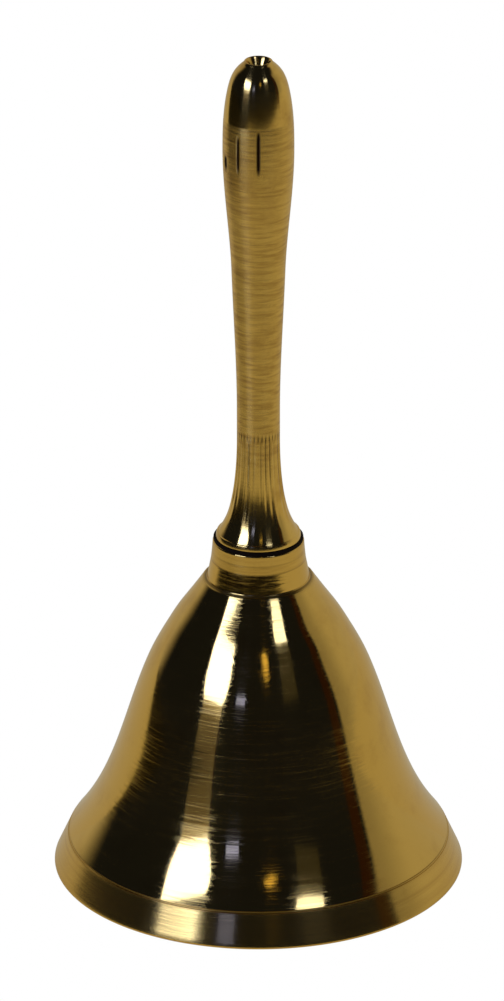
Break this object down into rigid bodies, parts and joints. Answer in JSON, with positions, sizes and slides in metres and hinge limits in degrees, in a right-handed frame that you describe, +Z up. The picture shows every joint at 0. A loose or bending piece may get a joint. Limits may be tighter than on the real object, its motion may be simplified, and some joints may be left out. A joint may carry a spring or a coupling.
{
  "type": "hand bell",
  "caption": "Small turned brass hand bell with a slim screwed-on handle and a clapper hung inside on a wire ring.",
  "frame": {"origin": "centre of the mouth, on the plane of the lip that the bell stands on", "axes": "+Z up the axis of symmetry, from the mouth towards the handle; the clapper ring swings about X and the clapper about Y"},
  "size_m": [0.062, 0.062, 0.1302],
  "materials": {
    "bell_brass": "turned and polished, fine turning marks",
    "handle_brass": "turned, satin along the stem, polished at the foot and top",
    "black_fibre": "matt vulcanised fibre",
    "steel": "bright zinc plated",
    "clapper_brass": "turned"
  },
  "bodies": {
    "root": {"bell_shell": "bell_brass", "handle": "handle_brass", "handle_washer": "black_fibre", "hanger_stud": "steel", "crown_washer": "steel", "crown_nut": "steel"},
    "link": {"clapper_link": "steel"},
    "clapper": {"clapper_rod": "steel", "clapper_ball": "clapper_brass"}
  },
  "joints": [
    {"name": "link_swing", "type": "hinge", "parent": "root", "child": "link", "pos_m": [0, 0, 0.0403], "axis": [1, 0, 0], "range_deg": [-7, 7]},
    {"name": "clapper_swing", "type": "hinge", "parent": "link", "child": "clapper", "pos_m": [0, 0, 0.03595], "axis": [0, 1, 0], "range_deg": [-33, 33]}
  ]
}
